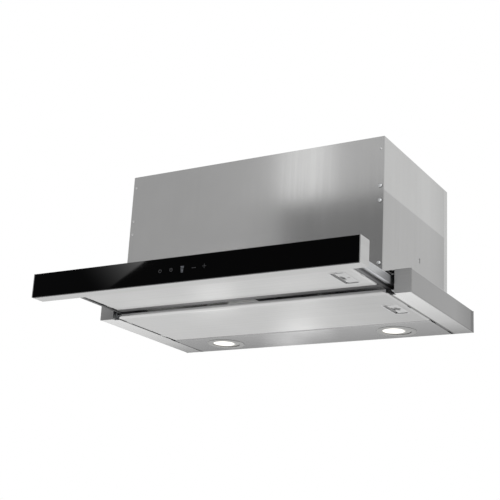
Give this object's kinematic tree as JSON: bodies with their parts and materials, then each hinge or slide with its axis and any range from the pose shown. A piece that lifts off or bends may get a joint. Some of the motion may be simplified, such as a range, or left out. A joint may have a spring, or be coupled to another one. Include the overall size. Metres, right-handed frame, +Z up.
{
  "type": "telescopic range hood",
  "caption": "Built-in range hood with a pull-out visor: steel body and base, black glass front, hinged grease filters with latches, lamps, fan in a scroll and a round air outlet.",
  "frame": {"origin": "centre of the plane where the base's top flanges bear against the underside of the cabinet", "axes": "+X to the right seen from the front, +Y to the back, +Z up"},
  "size_m": [0.598, 0.4693, 0.304],
  "materials": {
    "stainless": "fine brushed",
    "galvanised_steel": "zinc plated",
    "dark_painted_steel": "satin dark grey",
    "bright_steel": "bright",
    "aluminium_mesh": "expanded mesh",
    "black_glass": "polished, opaque black",
    "touch_circuit": "circuit board",
    "grey_plastic": "light grey satin",
    "black_plastic": "satin black",
    "white_plastic": "satin white",
    "cast_aluminium": "cast",
    "black_rubber": "matt",
    "lamp_chrome": "satin chrome",
    "frosted_lens": "frosted",
    "spring_steel": "bright"
  },
  "bodies": {
    "hood": {"base_front_crossmember": "stainless", "base_rear_wall": "stainless", "body_back_panel": "stainless", "body_front_panel": "stainless", "body_rivets": "bright_steel", "body_top_panel": "stainless", "cable_gland": "black_plastic", "control_board": "touch_circuit", "control_box": "black_plastic", "control_box_lid": "black_plastic", "duct_collar": "black_plastic", "lamp_driver": "white_plastic", "lamp_panel": "stainless", "left_channel_cap": "stainless", "left_lamp_housing": "lamp_chrome", "left_lamp_lens": "frosted_lens", "left_outer_rail": "galvanised_steel", "left_scroll_half": "black_plastic", "left_side_channel": "stainless", "left_side_panel": "stainless", "left_slide_bracket": "galvanised_steel", "limit_switch": "black_plastic", "motor_bracket": "galvanised_steel", "motor_housing": "cast_aluminium", "motor_mounts": "black_rubber", "right_channel_cap": "stainless", "right_lamp_housing": "lamp_chrome", "right_lamp_lens": "frosted_lens", "right_outer_rail": "galvanised_steel", "right_scroll_half": "black_plastic", "right_side_channel": "stainless", "right_side_panel": "stainless", "right_slide_bracket": "galvanised_steel", "run_capacitor": "cast_aluminium"},
    "visor": {"front_bar": "stainless", "glass_panel": "black_glass", "touch_board": "touch_circuit", "visor_front_crossmember": "dark_painted_steel", "visor_rear_crossmember": "dark_painted_steel", "left_bar_cap": "stainless", "right_bar_cap": "stainless", "left_visor_side": "dark_painted_steel", "right_visor_side": "dark_painted_steel", "left_inner_rail": "galvanised_steel", "right_inner_rail": "galvanised_steel"},
    "left_cage": {"left_ball_cage": "bright_steel"},
    "right_cage": {"right_ball_cage": "bright_steel"},
    "front_filter": {"front_filter_panel": "stainless", "front_filter_mesh": "aluminium_mesh", "front_latch_housing": "grey_plastic"},
    "rear_filter": {"rear_filter_panel": "stainless", "rear_filter_mesh": "aluminium_mesh", "rear_latch_housing": "grey_plastic"},
    "front_latch": {"front_latch_slider": "grey_plastic"},
    "rear_latch": {"rear_latch_slider": "grey_plastic"},
    "rotor": {"impeller": "black_plastic", "motor_shaft": "bright_steel"},
    "front_flap": {"front_damper_flap": "black_plastic"},
    "rear_flap": {"rear_damper_flap": "black_plastic"},
    "switch_lever": {"switch_lever": "spring_steel"}
  },
  "joints": [
    {"name": "visor_slide", "type": "slide", "parent": "hood", "child": "visor", "axis": [0, 1, 0], "range_m": [0, 0.155]},
    {"name": "left_cage_slide", "type": "slide", "parent": "hood", "child": "left_cage", "axis": [0, 1, 0], "range_m": [0, 0.0775]},
    {"name": "right_cage_slide", "type": "slide", "parent": "hood", "child": "right_cage", "axis": [0, 1, 0], "range_m": [0, 0.0775]},
    {"name": "front_filter_hinge", "type": "hinge", "parent": "visor", "child": "front_filter", "pos_m": [-0.2535, -0.2115, -0.027], "axis": [0, 1, 0], "range_deg": [0, 40]},
    {"name": "rear_filter_hinge", "type": "hinge", "parent": "hood", "child": "rear_filter", "pos_m": [-0.2625, -0.0515, -0.0375], "axis": [0, 1, 0], "range_deg": [0, 40]},
    {"name": "front_latch_slide", "type": "slide", "parent": "front_filter", "child": "front_latch", "axis": [-1, 0, 0], "range_m": [0, 0.0055], "stiffness_N_per_m": 150},
    {"name": "rear_latch_slide", "type": "slide", "parent": "rear_filter", "child": "rear_latch", "axis": [-1, 0, 0], "range_m": [0, 0.0055], "stiffness_N_per_m": 150},
    {"name": "impeller_spin", "type": "hinge", "parent": "hood", "child": "rotor", "pos_m": [0, -0.025, 0.104], "axis": [1, 0, 0], "continuous": true},
    {"name": "front_flap_hinge", "type": "hinge", "parent": "hood", "child": "front_flap", "pos_m": [0, 0.025, 0.23905], "axis": [-1, 0, 0], "range_deg": [0, 80]},
    {"name": "rear_flap_hinge", "type": "hinge", "parent": "hood", "child": "rear_flap", "pos_m": [0, 0.033, 0.23905], "axis": [1, 0, 0], "range_deg": [0, 80]},
    {"name": "switch_lever_hinge", "type": "hinge", "parent": "hood", "child": "switch_lever", "pos_m": [0.256, 0.1166, -0.004], "axis": [1, 0, 0], "range_deg": [0, 18], "stiffness_Nm_per_rad": 0.002}
  ],
  "couplings": [
    {"joint": "left_cage_slide", "follows": "visor_slide", "ratio": 0.5},
    {"joint": "right_cage_slide", "follows": "visor_slide", "ratio": 0.5}
  ]
}
